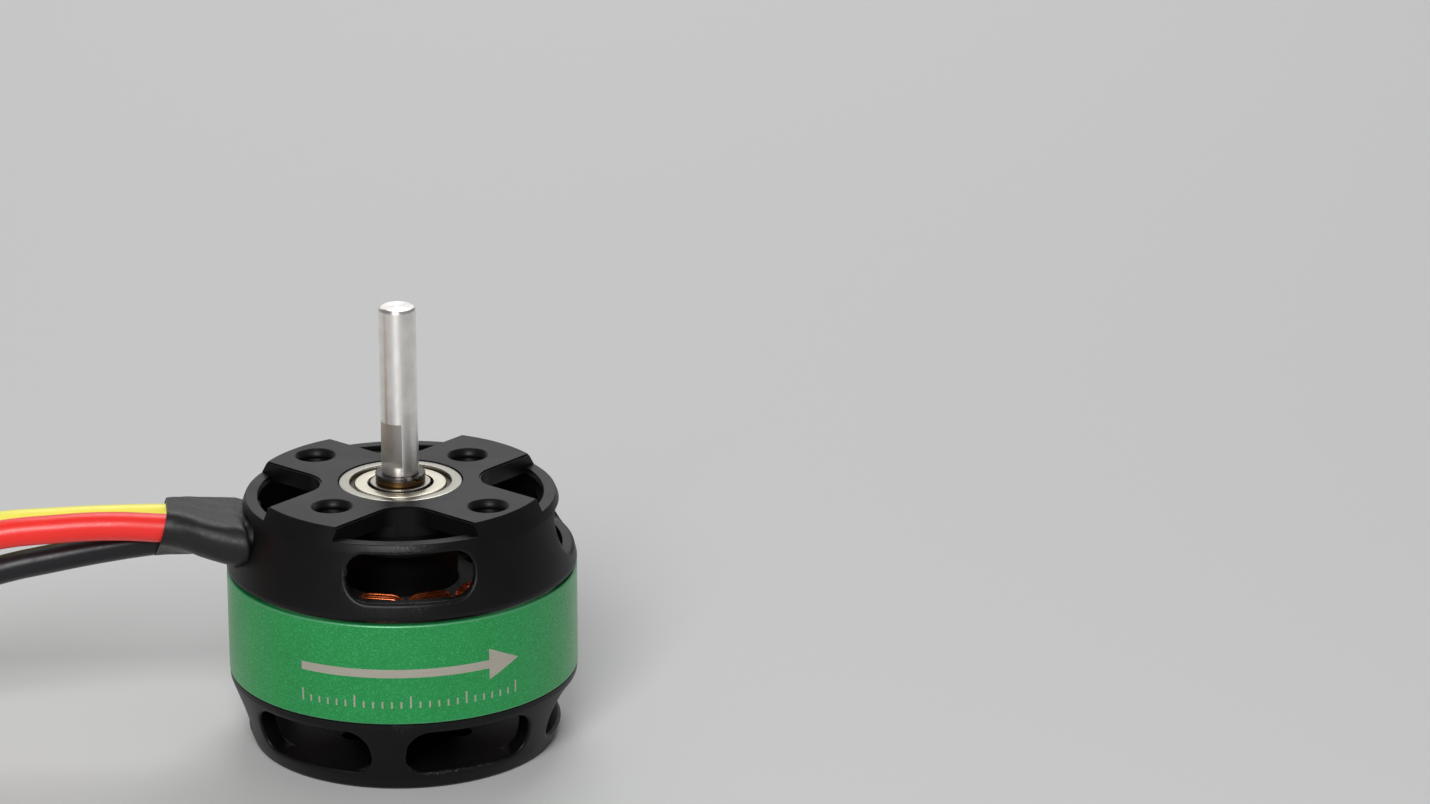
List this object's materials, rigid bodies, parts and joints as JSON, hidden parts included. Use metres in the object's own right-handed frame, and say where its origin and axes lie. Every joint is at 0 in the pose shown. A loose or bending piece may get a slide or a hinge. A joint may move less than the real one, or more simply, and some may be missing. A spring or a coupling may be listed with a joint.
{
  "type": "brushless outrunner motor",
  "caption": "Outrunner motor with a cross mounting base, a green rotor can with a vented end bell, a round shaft with a flat, and three leads in a shrink sleeve.",
  "frame": {"origin": "centre of the end bell's flat end, which the motor stands on", "axes": "+Z along the shaft, towards its free end; -X the way the three leads leave; the arms of the mounting cross lie at 45 degrees to X and Y"},
  "size_m": [0.118, 0.0284, 0.0365],
  "materials": {
    "black_anodised": "satin black anodised",
    "core_steel": "coated laminations",
    "copper": "enamelled copper winding",
    "bearing_steel": "ground",
    "shaft_steel": "ground",
    "green_ring": "metallic flake green",
    "magnet": "nickel plated",
    "dark_steel": "blackened",
    "brass_shim": "turned",
    "shrink_tube": "matt",
    "silicone_red": "satin silicone",
    "silicone_yellow": "satin silicone",
    "silicone_black": "satin silicone",
    "gold_plate": "gold plated"
  },
  "bodies": {
    "stator": {"mount_base": "black_anodised", "stator_core": "core_steel", "coil_01": "copper", "coil_02": "copper", "coil_03": "copper", "coil_04": "copper", "coil_05": "copper", "coil_06": "copper", "coil_07": "copper", "coil_08": "copper", "coil_09": "copper", "coil_10": "copper", "coil_11": "copper", "coil_12": "copper", "front_bearing_outer_ring": "bearing_steel", "front_bearing_upper_shield": "bearing_steel", "front_bearing_lower_shield": "bearing_steel", "rear_bearing_outer_ring": "bearing_steel", "rear_bearing_upper_shield": "bearing_steel", "rear_bearing_lower_shield": "bearing_steel", "lead_sleeve": "shrink_tube", "lead_red": "silicone_red", "lead_yellow": "silicone_yellow", "lead_black": "silicone_black", "plug_collar_red": "shrink_tube", "plug_collar_yellow": "shrink_tube", "plug_collar_black": "shrink_tube", "bullet_plug_red": "gold_plate", "bullet_plug_yellow": "gold_plate", "bullet_plug_black": "gold_plate"},
    "rotor": {"shaft": "shaft_steel", "end_bell": "black_anodised", "flux_ring": "green_ring", "magnet_01": "magnet", "magnet_02": "magnet", "magnet_03": "magnet", "magnet_04": "magnet", "magnet_05": "magnet", "magnet_06": "magnet", "magnet_07": "magnet", "magnet_08": "magnet", "magnet_09": "magnet", "magnet_10": "magnet", "magnet_11": "magnet", "magnet_12": "magnet", "magnet_13": "magnet", "magnet_14": "magnet", "retaining_clip": "dark_steel", "shim_washer": "brass_shim", "rear_spacer": "brass_shim", "grub_screw_1": "dark_steel", "grub_screw_2": "dark_steel", "front_bearing_inner_ring": "bearing_steel", "rear_bearing_inner_ring": "bearing_steel"},
    "front_balls": {"front_ball_set": "bearing_steel"},
    "rear_balls": {"rear_ball_set": "bearing_steel"}
  },
  "joints": [
    {"name": "rotor_spin", "type": "hinge", "parent": "stator", "child": "rotor", "pos_m": [0, 0, 0.0118], "axis": [0, 0, 1], "continuous": true},
    {"name": "front_ball_orbit", "type": "hinge", "parent": "stator", "child": "front_balls", "pos_m": [0, 0, 0.01975], "axis": [0, 0, 1], "continuous": true},
    {"name": "rear_ball_orbit", "type": "hinge", "parent": "stator", "child": "rear_balls", "pos_m": [0, 0, 0.0073], "axis": [0, 0, 1], "continuous": true}
  ],
  "couplings": [
    {"joint": "front_ball_orbit", "follows": "rotor_spin", "ratio": 0.38},
    {"joint": "rear_ball_orbit", "follows": "rotor_spin", "ratio": 0.41}
  ]
}
